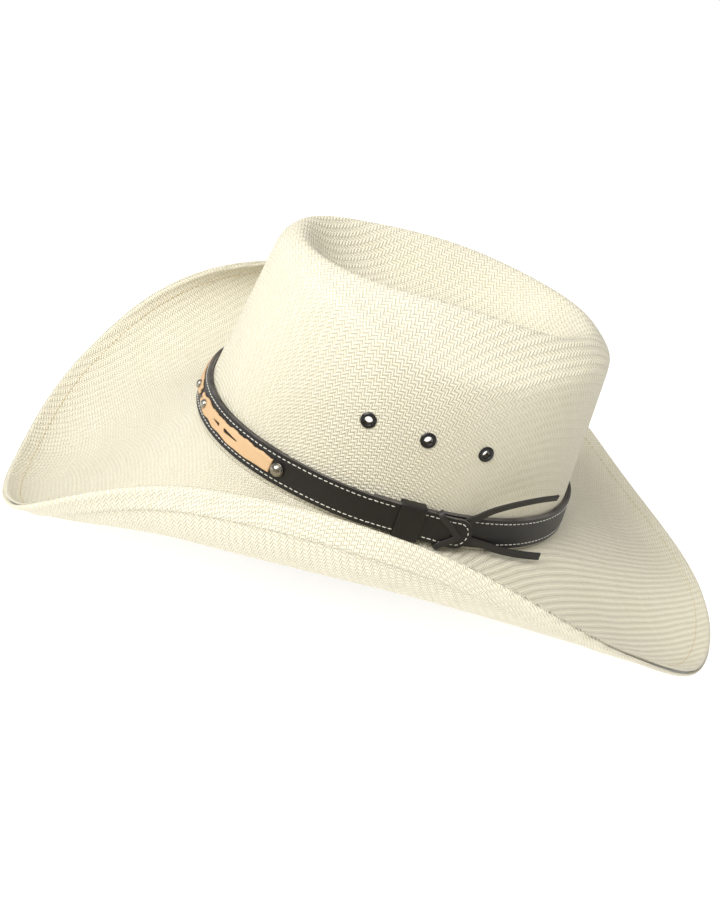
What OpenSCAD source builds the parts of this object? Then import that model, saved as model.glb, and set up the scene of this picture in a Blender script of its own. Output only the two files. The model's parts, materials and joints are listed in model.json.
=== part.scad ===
// Western straw hat with a cattleman crown, a curled brim and a leather hatband.
// Millimetres. Front is -Y, the wearer's left is +X, up is +Z. The hat stands on z = 0 on
// the lowest points of its brim, so the crown is built upright and then leaned by stand().

/* [Head opening] */
// Half length of the crown at the brim break, in front of the ears
front_half = 99.2; // [90:0.1:108]
// Half length of the crown at the brim break, behind the ears
back_half = 107.8; // [98:0.1:118]
// Half width of the crown at the brim break
side_half = 85.8; // [78:0.1:94]
// Squareness of the head oval, 2 is a plain ellipse
oval_power = 2.12; // [2:0.01:2.4]

/* [Crown] */
// Lean of the front wall, degrees
front_taper = 7.6; // [4:0.1:12]
// Lean of the back wall, degrees
back_taper = 5.9; // [3:0.1:11]
// Lean of the side walls, degrees
side_taper = 7.5; // [4:0.1:11]
// Thickness of the woven straw in the crown
crown_t = 1.5; // [1.2:0.1:2]
// Height of the rim of the crease at the front
rim_front = 105; // [96:0.5:112]
// Height of the rim of the crease at the sides
rim_side = 110; // [100:0.5:116]
// Height of the rim of the crease at the back
rim_back = 106; // [94:0.5:110]
// Height of the shoulder between wall and top at the front
edge_front = 97; // [90:0.5:102]
// Height of the shoulder at the bottom of the side dents
edge_side = 84; // [74:0.5:94]
// Height of the shoulder between wall and top at the back
edge_back = 96; // [84:0.5:98]
// Height of the floor of the centre crease
crease_floor = 86; // [76:0.5:96]
// Half width of the crease rim
crease_half = 50.5; // [44:0.5:56]
// Reach of the crease rim towards the front
crease_front = 77; // [70:0.5:84]
// Reach of the crease rim towards the back
crease_back = 81.5; // [78:0.5:94]
// Squareness of the crease rim, 2 is a plain ellipse
crease_power = 2.6; // [2:0.1:3.2]
// How far behind the middle the side dents sit, degrees
dent_shift = 8; // [0:1:20]
// How short the side dents are, higher is shorter
dent_power = 4.5; // [2:0.1:7]

/* [Brim] */
// Length of the brim from break to edge at the front, along the straw
brim_front = 110.5; // [98:0.5:118]
// Length of the brim from break to edge at the back, along the straw
brim_back = 104; // [92:0.5:112]
// Thickness of the woven straw in the brim
brim_t = 1.2; // [1:0.1:1.6]
// Slope of the brim at the break, front centre, degrees
slope_front = -53; // [-58:0.2:-46]
// Slope of the brim at the break, back centre, degrees
slope_back = -17.7; // [-26:0.2:-12]
// Slope of the brim at its edge, front centre, degrees
lift_front = 26; // [14:0.2:32]
// Slope of the brim at its edge, at the ears, degrees
lift_side = 118.4; // [96:0.2:126]
// Slope of the brim at its edge, back centre, degrees
lift_back = 11.2; // [0:0.2:20]
// How late along the brim the curl comes
curl_power = 3.15; // [2.2:0.05:3.6]
// Depth of the straw folded under at the edge
hem_depth = 11; // [9:0.5:14]

/* [Brim wire] */
// Diameter of the wire in the brim edge
wire_d = 1.2; // [1:0.1:1.6]
// Room between the wire and the folded straw
wire_play = 0.25; // [0.2:0.05:0.4]

/* [Sweatband] */
// Height of the sweatband above the brim break
sweat_h = 38; // [32:0.5:42]
// Thickness of the sweatband leather
sweat_t = 1; // [0.8:0.1:1.4]
// Gap between sweatband and straw
sweat_gap = 0.35; // [0.3:0.05:0.6]
// Open seam at the back of the sweatband
seam_open = 1; // [0.6:0.1:2]
// Width of the tape over the back seam
tape_w = 12; // [8:0.5:16]
// Thickness of the tape over the back seam
tape_t = 0.6; // [0.5:0.1:1]
// Diameter of the reed under the sweatband
reed_d = 1.4; // [1:0.1:1.6]

/* [Eyelets] */
// Height of the vent eyelets above the brim break
eyelet_z = 51.7; // [46:0.5:60]
// Distance of the middle eyelets behind the ears
eyelet_y = 7.8; // [-5:0.5:20]
// Distance between neighbouring eyelets
eyelet_pitch = 30.2; // [22:0.1:34]
// Diameter of the eyelet flange
eyelet_d = 8; // [7:0.1:9]
// Diameter of the open hole in an eyelet
eyelet_bore = 4; // [3.4:0.1:4.2]

/* [Hatband] */
// Height of the lower edge of the strap above the brim break
band_z = 3.4; // [2.6:0.1:5]
// Width of the strap
band_w = 16; // [14:0.5:18]
// Thickness of the strap
band_t = 1.5; // [1.2:0.1:1.8]
// Thickness of the lining behind the strap
lining_t = 1; // [0.8:0.1:1.2]
// Gap between neighbouring leather pieces
leather_gap = 0.3; // [0.3:0.05:0.4]
// Gap between the hatband and the crown wall
band_gap = 0.4; // [0.35:0.05:0.6]
// Position of the strap's free end, degrees round from the ear
tongue_deg = 22.4; // [20:0.2:26]
// Position of the keeper loop, degrees round from the ear
keeper_deg = 5.6; // [4:0.2:7]
// Width of the keeper loop
keeper_w = 13; // [10:0.5:14]
// Thickness of the keeper leather
keeper_t = 1; // [0.8:0.1:1.2]

/* [Overlay and studs] */
// Distance of the overlay's middle from the front centre, along the strap
overlay_mid = 19; // [0:0.5:24]
// Length of one overlay leaf
overlay_len = 72; // [60:1:76]
// Thickness of the overlay leather
overlay_t = 1.1; // [0.9:0.1:1.4]
// Diameter of the end studs
end_stud_d = 7; // [6:0.1:8]
// Diameter of the front studs
front_stud_d = 5; // [4:0.1:6]

/* [Lace] */
// Width of the flat lace
lace_w = 4; // [3:0.1:4.4]
// Thickness of the flat lace
lace_t = 1.1; // [1:0.05:1.2]

/* [Hidden] */
step_deg = 6;
hole_fn = 32;
slope = [slope_front, -37.9, -11.2, 3.4, 0.4, -17.7, slope_back];
lift = [lift_front, 37.4, 132.3, lift_side, 50.4, 26.9, lift_back];
wire_hole = wire_d/2 + wire_play;
hem_r = wire_hole + brim_t;
slit = 0.3;
o_strap = band_gap + lining_t + leather_gap;
o_over = o_strap + band_t + leather_gap;
band_top = band_z + band_w;
band_mid = band_z + band_w/2;

// ---- shared helpers -------------------------------------------------------------------

function unit(v) = v/norm(v);
function smooth(x) = let(c = max(0, min(1, x))) c*c*(3 - 2*c);
function deg_list(a, b) = [for (t = [a:step_deg:b + 0.001]) t];

// A value given at seven stations from the front centre to the back centre.
function station(v, t) = let(p = (atan2(sin(t), abs(cos(t))) + 90)/30, i = min(5, floor(p)),
  u = p - i, a = i == 0 ? v[1] : v[i - 1], b = v[i], c = v[i + 1], d = i == 5 ? v[5] : v[i + 2])
  0.5*(2*b + (c - a)*u + (2*a - 5*b + 4*c - d)*u*u + (3*b - a - 3*c + d)*u*u*u);

// A point on the crown wall at height z, moved outwards by o.
function wall(t, z, o = 0) = let(c = cos(t), s = sin(t), p = 2/oval_power,
  b = side_half - z*tan(side_taper) + o,
  a = s < 0 ? front_half - z*tan(front_taper) + o : back_half - z*tan(back_taper) + o)
  [b*sign(c)*pow(abs(c), p), a*sign(s)*pow(abs(s), p), z];

// Closed sections joined one after another into a solid; loop joins the last to the first.
module skin(rings, loop = false) {
  n = len(rings); m = len(rings[0]);
  polyhedron(points = [for (r = rings) each r], faces = concat(
    [for (i = [0:n - (loop ? 1 : 2)], j = [0:m - 1]) let(a = i*m, b = ((i + 1) % n)*m, k = (j + 1) % m)
      each [[a + j, b + k, a + k], [a + j, b + j, b + k]]],
    loop ? [] : [[for (j = [0:m - 1]) j], [for (j = [m - 1:-1:0]) (n - 1)*m + j]]));
}

// A strip bent round the crown: stations of [degrees, z low, z high, inner, outer offset].
module ribbon(stations, loop = false) skin([for (q = stations) [wall(q[0], q[1], q[3]),
  wall(q[0], q[2], q[3]), wall(q[0], q[2], q[4]), wall(q[0], q[1], q[4])]], loop);

// Children with their Z axis along the outward normal of the crown wall.
module on_wall(t, z, o = 0) {
  d = wall(t + 0.5, z, o) - wall(t - 0.5, z, o);
  tap = abs(cos(t)) > 0.7 ? side_taper : sin(t) < 0 ? front_taper : back_taper;
  translate(wall(t, z, o)) rotate([0, 0, atan2(-d[0], d[1])]) rotate([0, 90 - tap, 0]) children();
}

// Degrees round the crown for a distance along the strap from the front centre.
arc_steps = [for (d = [0:3:180]) wall(d - 90, band_mid, o_strap + band_t)];
function arc_sum(i, s = 0, out = [[0, 0]]) = i >= len(arc_steps) ? out
  : let(l = s + norm(arc_steps[i] - arc_steps[i - 1])) arc_sum(i + 1, l, concat(out, [[l, 3*i]]));
arc_table = arc_sum(1);
deg_table = [for (q = arc_table) [q[1], q[0]]];
function deg_at(l) = -90 + sign(l)*lookup(abs(l), arc_table);
function len_at(t) = lookup(t + 90, deg_table);

// ---- brim section -----------------------------------------------------------------------

function brim_len(t) = (brim_front + brim_back)/2 - (brim_front - brim_back)/2*sin(t);
function brim_angle(t, s) = let(a = station(slope, t), b = station(lift, t))
  a + (b - a)*pow(max(0, s)/brim_len(t), curl_power);
function trace(t, ss, i, p, out) = i >= len(ss) ? out : let(h = ss[i] - ss[i - 1],
  a = brim_angle(t, ss[i - 1]), b = brim_angle(t, (ss[i] + ss[i - 1])/2), c = brim_angle(t, ss[i]),
  q = p + h/6*[cos(a) + 4*cos(b) + cos(c), sin(a) + 4*sin(b) + sin(c)])
  trace(t, ss, i + 1, q, concat(out, [[q[0], q[1], c]]));
function curve(t, ss) = trace(t, ss, 1, [0, 0], [[0, 0, brim_angle(t, 0)]]);
function off(q, n) = [q[0] - n*sin(q[2]), q[1] + n*cos(q[2])];

main_f = [0, 0.1, 0.22, 0.37, 0.51, 0.65, 0.76, 0.85, 0.93];
edge_e = [hem_depth, 6.5, 4.3, hem_r, hem_r - 0.707*wire_hole, brim_t, hem_r*0.412, hem_r*0.049];
function brim_s(t) = concat([for (f = main_f) f*(brim_len(t) - hem_depth)],
  [for (e = edge_e) brim_len(t) - e]);
im = len(main_f);   // index of the inner end of the hem

// Section of the folded brim edge at one station, in the plane through the crown axis.
function brim_section(t) = let(c = curve(t, brim_s(t)), a0 = c[0][2],
    mitre = -brim_t*tan(-a0/2), ht = -2*brim_t - slit)
  concat(
    [[-crown_t, 0]], [for (i = [0:im + 3]) [c[i][0], c[i][1]]],
    [off(c[im + 6], -hem_r*0.191), off(c[im + 7], -hem_r*0.691), off(c[im + 7], -hem_r*1.309),
     off(c[im + 6], -hem_r*1.809), off(c[im + 3], -2*hem_r)],
    [off(c[im + 2], (ht - 2*hem_r)/2), off(c[im + 1], ht), off(c[im], ht), off(c[im], -brim_t - slit),
     off(c[im + 1], -brim_t - slit), off(c[im + 2], -brim_t - slit - 0.6)],
    [for (k = [[3, -1], [4, -0.707], [5, 0], [4, 0.707], [3, 1]]) off(c[im + k[0]], -hem_r + k[1]*wire_hole)],
    [for (i = [im + 2:-1:1]) off(c[i], -brim_t)], [[min(-0.05, mitre), -brim_t], [-crown_t, -brim_t]]);
function place(t, q) = let(w = wall(t, 0)) [w[0] + cos(t)*q[0], w[1] + sin(t)*q[0], q[1]];

// ---- stance -----------------------------------------------------------------------------

front_pts = [for (q = brim_section(-90)) place(-90, q)];
back_pts = [for (q = brim_section(90)) place(90, q)];
function low(pts, a) = min([for (p = pts) p[2]*cos(a) - p[1]*sin(a)]);
function level(lo, hi, n) = n == 0 ? (lo + hi)/2 : let(m = (lo + hi)/2)
  low(front_pts, m) > low(back_pts, m) ? level(lo, m, n - 1) : level(m, hi, n - 1);
lean = level(0, 15, 30);
sit_h = -min(low(front_pts, lean), low(back_pts, lean));
sit_y = -(min([for (p = front_pts) p[1]*cos(lean) + p[2]*sin(lean)])
  + max([for (p = back_pts) p[1]*cos(lean) + p[2]*sin(lean)]))/2;
module stand() translate([0, sit_y, sit_h]) rotate([-lean, 0, 0]) children();

// ---- straw body -------------------------------------------------------------------------

// Control net of the crown surface at one station, from the middle of the top to the break.
function crown_net(t) = let(phi = atan2(sin(t), abs(cos(t))), ph = phi - dent_shift*cos(phi),
    side = pow(abs(cos(ph)), dent_power), fr = sin(t) < 0,
    ze = side*edge_side + (1 - side)*(fr ? edge_front : edge_back),
    zr = side*rim_side + (1 - side)*(fr ? rim_front : rim_back),
    e = wall(t, ze), ry = fr ? crease_front : crease_back,
    rr = min(0.93, pow(pow(abs(e[0])/crease_half, crease_power)
      + pow(abs(e[1])/ry, crease_power), -1/crease_power)), w = 1 - rr, dn = smooth((w - 0.12)/0.25),
    pt = function(r, z) [e[0]*r, e[1]*r, z])
  concat([pt(0, crease_floor), pt(rr*0.35, crease_floor), pt(rr*0.7, crease_floor*0.75 + zr*0.25),
    pt(rr*0.95, zr + 3), pt(rr + w*0.22, zr + 2.1 - (zr - ze)*0.06),
    pt(rr + w*0.62, ze + (zr - ze)*(0.22*dn + 0.72*(1 - dn))),
    pt(rr + w*0.97, ze + 3*dn + (1 - dn)*(zr - ze)*0.25)],
    [for (f = [0.93, 0.8, 0.55, 0.3, 0]) wall(t, ze*f)]);
function bspline(p, u) = let(k = len(p) - 1, i = min(k + 1, floor(u)), f = u - i,
  at = function(j) p[max(0, min(k, j - 2))])
  pow(1 - f, 3)/6*at(i) + (3*f*f*f - 6*f*f + 4)/6*at(i + 1)
  + (-3*f*f*f + 3*f*f + 3*f + 1)/6*at(i + 2) + f*f*f/6*at(i + 3);
crown_u = [1.7, 2.5, 3, 3.4, 3.8, 4.2, 4.6, 5, 5.4, 5.8, 6.2, 6.6, 7, 7.4, 7.8, 8.3, 9.2, 11, 13];

module crown_shell() {
  ts = [for (t = [0:step_deg:359.9]) t]; n = len(ts); rows = len(crown_u);
  cols = [for (t = ts) let(p = crown_net(t)) [for (u = crown_u) bspline(p, u)]];
  apex = [0, 0, crease_floor];
  function g(i, j) = j < 0 ? apex : cols[(i + n) % n][min(rows - 1, j)];
  function inner(i, j) = let(v = cross(g(i, j + 1) - g(i, j - 1), g(i + 1, j) - g(i - 1, j)),
    w = j == rows - 1 ? unit([v[0], v[1], 0]) : unit(v)) g(i, j) - crown_t*w;
  outer_pts = [for (i = [0:n - 1], j = [0:rows - 1]) g(i, j)];
  inner_pts = [for (i = [0:n - 1], j = [0:rows - 1]) inner(i, j)];
  m = n*rows;
  polyhedron(points = concat(outer_pts, inner_pts, [apex, apex - [0, 0, crown_t]]),
    faces = [for (i = [0:n - 1]) let(a = i*rows, b = ((i + 1) % n)*rows, z = rows - 1) each concat(
      [[2*m, b, a], [2*m + 1, m + a, m + b]],
      [for (j = [0:rows - 2]) each [[a + j, b + j, b + j + 1], [a + j, b + j + 1, a + j + 1],
        [m + a + j, m + b + j + 1, m + b + j], [m + a + j, m + a + j + 1, m + b + j + 1]]],
      [[a + z, b + z, m + b + z], [a + z, m + b + z, m + a + z]])]);
}

function eyelet_deg(k) = let(y = eyelet_y + k*eyelet_pitch, a = (y < 0 ? front_half : back_half)
  - eyelet_z*tan(y < 0 ? front_taper : back_taper)) asin(sign(y)*pow(abs(y)/a, oval_power/2));
module at_eyelets(left) for (k = [-1:1])
  on_wall(left ? eyelet_deg(k) : 180 - eyelet_deg(k), eyelet_z) children();

module crown() color("#e6e1cf") stand() difference() {
  crown_shell();
  for (left = [true, false]) at_eyelets(left)
    translate([0, 0, -6]) cylinder(d = eyelet_bore + 1.6, h = 12, $fn = hole_fn);
}
module brim() color("#e2dcc8") stand()
  skin([for (t = [0:step_deg:359.9]) [for (q = brim_section(t)) place(t, q)]], true);
module brim_wire() color("#9a9a96") stand() skin([for (t = [0:step_deg:359.9])
  let(c = curve(t, brim_s(t))[im + 3], m = off(c, -hem_r))
  [for (k = [0:5]) place(t, m + wire_d/2*[cos(60*k), -sin(60*k)])]], true);

// ---- sweatband --------------------------------------------------------------------------

sweat_o = -crown_t - sweat_gap;
module sweatband() color("#6d4a2f") stand() {
  da = asin(seam_open/2/side_half);
  ribbon([for (t = concat([90 + da], deg_list(96, 444), [450 - da]))
    [t, -1.1, sweat_h, sweat_o - sweat_t, sweat_o]]);
}
module sweatband_reed() color("#3a3330") stand() skin([for (t = [0:step_deg:359.9])
  [for (k = [0:5]) wall(t, 0, sweat_o + reed_d/2 - 0.9 + reed_d/2*cos(60*k))
    - [0, 0, 1.5 + reed_d/2 + reed_d/2*sin(60*k)]]], true);
module sweatband_seam_tape() color("#57391f") stand() {
  da = asin(tape_w/2/side_half);
  o = sweat_o - sweat_t - leather_gap;
  ribbon([for (t = [90 - da, 90, 90 + da]) [t, 0.5, sweat_h - 1.5, o - tape_t, o]]);
}

// ---- eyelets ------------------------------------------------------------------------------

module eyelet() rotate_extrude($fn = hole_fn) {
  r = eyelet_bore/2;
  polygon([[r, -crown_t - 1.9], [r + 1.1, -crown_t - 1.9], [r + 1.3, -crown_t - 1.6],
    [r + 1.1, -crown_t - 1.35], [r + 0.45, -crown_t - 1.35], [r + 0.45, 0.3], [eyelet_d/2, 0.3],
    [eyelet_d/2, 0.6], [r + 1.1, 1.1], [r + 0.3, 1.1], [r, 0.8]]);
}
module eyelet_washer() translate([0, 0, -crown_t - 1]) difference() {
  cylinder(d = eyelet_d + 0.4, h = 0.6, $fn = hole_fn);
  translate([0, 0, -1]) cylinder(d = eyelet_bore + 1.6, h = 3, $fn = hole_fn);
}
module left_eyelets() color("#161514") stand() at_eyelets(true) eyelet();
module right_eyelets() color("#161514") stand() at_eyelets(false) eyelet();
module left_eyelet_washers() color("#b8b6b0") stand() at_eyelets(true) eyelet_washer();
module right_eyelet_washers() color("#b8b6b0") stand() at_eyelets(false) eyelet_washer();

// ---- hatband ------------------------------------------------------------------------------

strap_end = -364;   // the covered end of the strap, one turn on from the tongue
function tongue_o(t) = o_strap + (band_t + leather_gap)*smooth((t + 28)/24)
  + (lace_t + 0.5)*smooth((t - 10)/6);
tip_stations = [for (d = [band_w/2, 4.6, 2.5, 1.1, 0.25]) let(t = deg_at(len_at(tongue_deg) - d),
  h = sqrt(max(0, pow(band_w/2, 2) - pow(band_w/2 - d, 2)))) [t, h]];
hole_deg = tongue_deg - 4.2;
stud_ends = [overlay_mid - overlay_len - 2, overlay_mid + overlay_len + 2];
stud_fronts = [overlay_mid - 11, overlay_mid + 11];

module stud_bores(d, lo, hi) for (l = concat(stud_ends, stud_fronts))
  on_wall(deg_at(l), band_mid) translate([0, 0, lo]) cylinder(d = d, h = hi - lo, $fn = 20);

module hatband_strap() color("#1b1a18") stand() difference() {
  ribbon(concat(
    [for (t = concat([strap_end], deg_list(-360, -30), [-27, -24, -21, -18, -15, -12, -9, -6, -3, 0, 6, 9, 12]))
      [t, band_z, band_top, tongue_o(t), tongue_o(t) + band_t]],
    [for (q = tip_stations) [q[0], band_mid - q[1], band_mid + q[1], tongue_o(q[0]), tongue_o(q[0]) + band_t]]));
  stud_bores(2.4, 0, 9);
  on_wall(hole_deg, band_mid - 1) translate([0, 0, tongue_o(hole_deg) - 0.6])
    cylinder(d = 3.6, h = 5, $fn = 24);
}
module hatband_lining() color("#4a3a2c") stand() difference() {
  ribbon([for (t = concat([-346], deg_list(-342, -30))) [t, band_z + 0.8, band_top - 0.8,
    band_gap, band_gap + lining_t]]);
  stud_bores(2.4, -1, 3);
}
module band_keeper() color("#171614") stand() {
  dk = keeper_w/2/1.84; ts = [for (k = [-1:0.5:1]) keeper_deg + k*dk];
  o = tongue_o(keeper_deg) + band_t + leather_gap;
  difference() {
    ribbon([for (t = ts) [t, band_z - 0.4 - keeper_t, band_top + 0.4 + keeper_t, band_gap, o + keeper_t]]);
    ribbon([for (t = [ts[0] - 1, each ts, ts[4] + 1]) [t, band_z - 0.4, band_top + 0.4, band_gap + keeper_t, o]]);
  }
}

leaf = [[3, 2.2], [6, 2.6], [11, 3.6], [16, 4], [21, 3], [27, 3.9], [33, 3.5], [42, 4.2], [52, 4.1],
  [62, 3.8], [70, 3.5]];
module slot(side, a, b, ra, rb, z) hull() for (q = [[a, ra], [b, rb]])
  on_wall(deg_at(overlay_mid + side*q[0]), band_mid + z, o_over) translate([0, 0, -1.5])
    cylinder(r = q[1], h = 5, $fn = 12);
module overlay(side) difference() {
  ribbon([for (i = [0:len(leaf) - 1]) let(q = leaf[side > 0 ? i : len(leaf) - 1 - i],
      t = deg_at(overlay_mid + side*q[0]*overlay_len/72), w = q[1]*band_w/16)
    [t, band_mid - w, band_mid + w + 0.3*sin(q[0]*14), o_over, o_over + overlay_t]]);
  slot(side, 1.5, 5.5, 1, 0.3, 0.2);
  slot(side, 26, 31, 0.4, 0.9, 0);
  slot(side, 37, 47, 1.1, 0.4, 0.2);
  stud_bores(2.4, 0, 12);
}
module left_overlay() color("#e3c096") stand() overlay(1);
module right_overlay() color("#e3c096") stand() overlay(-1);

// A domed stud on a shank that reaches through overlay and strap.
module stud(d, o) {
  top = o + overlay_t + leather_gap;
  translate([0, 0, top]) intersection() {
    translate([0, 0, d*0.3 - d*0.567]) sphere(d = d*1.134, $fn = 40);
    cylinder(d = d, h = d, $fn = 40);
  }
  translate([0, 0, o_strap + 0.2]) cylinder(d = 1.8, h = top - o_strap + 0.3, $fn = 20);
}
module end_studs() color("#c9c6bd") stand() for (l = stud_ends)
  on_wall(deg_at(l), band_mid) stud(end_stud_d, o_over);
module front_studs() color("#c9c6bd") stand() for (l = stud_fronts)
  on_wall(deg_at(l), band_mid) stud(front_stud_d, o_over);

// ---- lace -----------------------------------------------------------------------------------

// A flat strip through points of [degrees, z, offset]; its flat lies against the wall.
module strip(pts, w = lace_w) {
  p = [for (q = pts) wall(q[0], q[1], q[2])]; n = len(p) - 1;
  skin([for (i = [0:n]) let(d = unit(p[min(n, i + 1)] - p[max(0, i - 1)]), q = pts[i],
      r = unit([p[i][0]/pow(side_half, 2), p[i][1]/pow(back_half, 2), 0]),
      fl = len(q) > 3 ? q[3] : 0, m = unit(r*cos(fl) + [0, 0, 1]*sin(fl)),
      s = unit(cross(d, m)), f = unit(cross(s, d)))
    [p[i] + s*w/2, p[i] - s*w/2, p[i] - s*w/2 + f*lace_t, p[i] + s*w/2 + f*lace_t]]);
}
module tie_lace() color("#201d1b") stand() {
  of = tongue_o(tongue_deg) + band_t + leather_gap;   // front of the tongue
  ob = o_strap + band_t + leather_gap;                // between the two strap layers
  zh = band_mid - 1;
  strip([[hole_deg + 1.2, zh - 1.2, of], [hole_deg - 3, zh + 5, of], [hole_deg - 6, band_top - 0.6, of]]);
  strip([[hole_deg + 1.2, zh + 1.2, of], [hole_deg - 2.5, zh - 4, of], [hole_deg - 4.6, band_z + 0.6, of]]);
  on_wall(hole_deg, zh) translate([0, 0, ob]) cylinder(d = 2.6, h = of - ob + 0.6, $fn = 20);
  strip([[hole_deg - 1.6, zh - 1.5, ob], [hole_deg + 1.8, band_top - 3, ob], [tongue_deg + 1, band_top + 2, ob + 1],
    [26, 28, 8], [31, 34, 11], [37, 38.5, 14], [42.7, 41, 16.5]]);
  strip([[hole_deg - 1.6, zh + 1.5, ob], [tongue_deg, zh - 2.2, ob], [27, zh - 3.8, ob + 0.6],
    [34, 4.6, 6.5], [41, 3.6, 9], [47.5, 3, 12]]);
}

crown();
brim();
brim_wire();
sweatband();
sweatband_reed();
sweatband_seam_tape();
left_eyelets();
right_eyelets();
left_eyelet_washers();
right_eyelet_washers();
hatband_strap();
hatband_lining();
band_keeper();
left_overlay();
right_overlay();
end_studs();
front_studs();
tie_lace();
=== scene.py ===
import json
import math
import bpy
import bmesh
import numpy as np
from mathutils import Matrix, Vector
from mathutils.kdtree import KDTree


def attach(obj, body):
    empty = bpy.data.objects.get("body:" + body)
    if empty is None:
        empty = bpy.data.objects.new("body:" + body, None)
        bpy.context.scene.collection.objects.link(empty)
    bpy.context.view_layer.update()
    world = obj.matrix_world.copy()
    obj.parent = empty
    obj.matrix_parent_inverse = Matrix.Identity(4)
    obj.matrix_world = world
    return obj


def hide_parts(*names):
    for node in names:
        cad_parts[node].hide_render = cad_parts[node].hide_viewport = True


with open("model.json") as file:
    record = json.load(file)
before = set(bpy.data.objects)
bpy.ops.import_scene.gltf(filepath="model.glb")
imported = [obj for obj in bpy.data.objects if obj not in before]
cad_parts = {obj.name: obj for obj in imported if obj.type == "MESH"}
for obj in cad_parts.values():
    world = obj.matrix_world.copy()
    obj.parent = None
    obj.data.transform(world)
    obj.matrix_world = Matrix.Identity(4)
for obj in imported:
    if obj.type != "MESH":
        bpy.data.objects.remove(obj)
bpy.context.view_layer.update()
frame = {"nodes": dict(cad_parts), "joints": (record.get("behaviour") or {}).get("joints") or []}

# ---- Camera -----------------------------------------------------------------------------
# The hat is looked at from the wearer's left, a little in front of the ear and from above,
# from close by, and the camera is rolled so that the front of the brim is high.

camera_azimuth = 7.147       # degrees from the ear towards the front
camera_elevation = 26.542
camera_roll = 14.844
camera_distance = 0.67335    # m, to the point looked at
camera_target = Vector((0, -0.01544, 0.04366))
lens_over_height = 1.3555    # focal length over the height of the picture

def camera_pose():
    """Where the camera stands, looking at its target, rolled about the line of sight."""
    az, el, roll = (math.radians(a) for a in (camera_azimuth, camera_elevation, camera_roll))
    back = Vector((math.cos(el)*math.cos(az), -math.cos(el)*math.sin(az), math.sin(el)))
    right = Vector((0, 0, 1)).cross(back).normalized()
    up = back.cross(right)
    x_axis = right*math.cos(roll) + up*math.sin(roll)
    y_axis = up*math.cos(roll) - right*math.sin(roll)
    m = Matrix((x_axis, y_axis, back)).transposed().to_4x4()
    m.translation = camera_target + back*camera_distance
    return m

camera = bpy.data.objects.new("camera", bpy.data.cameras.new("camera"))
camera.data.sensor_fit = "VERTICAL"
camera.data.sensor_height = 36
camera.data.lens = 36*lens_over_height
camera.data.clip_start = 0.01
camera.matrix_world = camera_pose()
bpy.context.scene.collection.objects.link(camera)
bpy.context.scene.camera = camera

# ---- Straw body: crown ------------------------------------------------------------------
# One sheet of flat straw strands woven as a twill, steamed over a block and stiffened.
# Everything is laid out upright in millimetres, then leaned on to the brim's lowest points.

front_half, back_half, side_half = 99.2, 107.8, 85.8
oval_power = 2.12
front_taper, back_taper, side_taper = 7.6, 5.9, 7.5
crown_t = 1.5
rim_front, rim_side, rim_back = 105, 110, 106
edge_front, edge_side, edge_back = 97, 84, 96
crease_floor, crease_half, crease_front, crease_back = 86, 50.5, 77, 81.5
crease_power = 2.6
dent_shift, dent_power = 8, 4.5
break_round = 5.0            # how far the curve between wall and brim reaches, mm
columns = 420                # stations round the hat
lean = math.atan2(frame["joints"][0]["axis"][1], frame["joints"][0]["axis"][2])

def tan(degrees):
    return math.tan(math.radians(degrees))

def wall(t, z, out=0.0):
    """Points on the crown wall at t radians and height z, moved outwards."""
    t, z, out = np.broadcast_arrays(np.asarray(t, float), np.asarray(z, float), out)
    c, s = np.cos(t), np.sin(t)
    b = side_half - z*tan(side_taper) + out
    a = np.where(s < 0, front_half - z*tan(front_taper), back_half - z*tan(back_taper)) + out
    p = 2/oval_power
    return np.stack([b*np.sign(c)*np.abs(c)**p, a*np.sign(s)*np.abs(s)**p, z], -1)

def smooth(x):
    """A soft step from 0 to 1."""
    x = np.clip(x, 0, 1)
    return x*x*(3 - 2*x)

def crown_net(t):
    """Control net of the crown, from the middle of the top down to the break.

    r is where the crease's rim lies as a share of the way out to the edge of the top and w is
    what remains, so each row is (share of the way out, height).
    """
    c, s = np.cos(t), np.sin(t)
    phi = np.arctan2(s, np.abs(c))
    side = np.abs(np.cos(phi - math.radians(dent_shift)*np.cos(phi)))**dent_power
    edge = side*edge_side + (1 - side)*np.where(s < 0, edge_front, edge_back)
    rim = side*rim_side + (1 - side)*np.where(s < 0, rim_front, rim_back)
    e = wall(t, edge)
    reach = (np.abs(e[:, 0]/crease_half)**crease_power
             + np.abs(e[:, 1]/np.where(s < 0, crease_front, crease_back))**crease_power)
    r = np.minimum(reach**(-1/crease_power), 0.93)
    w = 1 - r
    dent = smooth((w - 0.12)/0.25)
    rows = [(0*r, crease_floor + 0*r), (0.35*r, crease_floor + 0*r),
            (0.7*r, 0.75*crease_floor + 0.25*rim), (0.95*r, rim + 3),
            (r + 0.22*w, rim + 2.1 - 0.06*(rim - edge)),
            (r + 0.62*w, edge + (rim - edge)*(0.22*dent + 0.72*(1 - dent))),
            (r + 0.97*w, edge + 3*dent + (1 - dent)*(rim - edge)*0.25)]
    top = [np.stack([e[:, 0]*f, e[:, 1]*f, z], -1) for f, z in rows]
    return np.array(top + [wall(t, edge*f) for f in (0.93, 0.8, 0.55, 0.3, 0)])

def bspline(points, u):
    """Clamped cubic B-spline through a net of rows, sampled at the parameters u."""
    p = np.concatenate([points[:1], points[:1], points, points[-1:], points[-1:]])
    i = np.minimum(np.floor(u).astype(int), len(p) - 4)
    f = (u - i).reshape(-1, 1, 1)
    return ((1 - f)**3*p[i] + (3*f**3 - 6*f**2 + 4)*p[i + 1]
            + (-3*f**3 + 3*f**2 + 3*f + 1)*p[i + 2] + f**3*p[i + 3])/6

def grid_normals(grid):
    """Unit normals of a grid of rows by closed columns, pointing out of the hat."""
    down = np.gradient(grid, axis=0)
    round_ = np.roll(grid, -1, 1) - np.roll(grid, 1, 1)
    n = np.cross(down, round_)
    n[0] = (0, 0, 1)
    return n/np.maximum(np.linalg.norm(n, axis=-1, keepdims=True), 1e-9)

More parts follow.
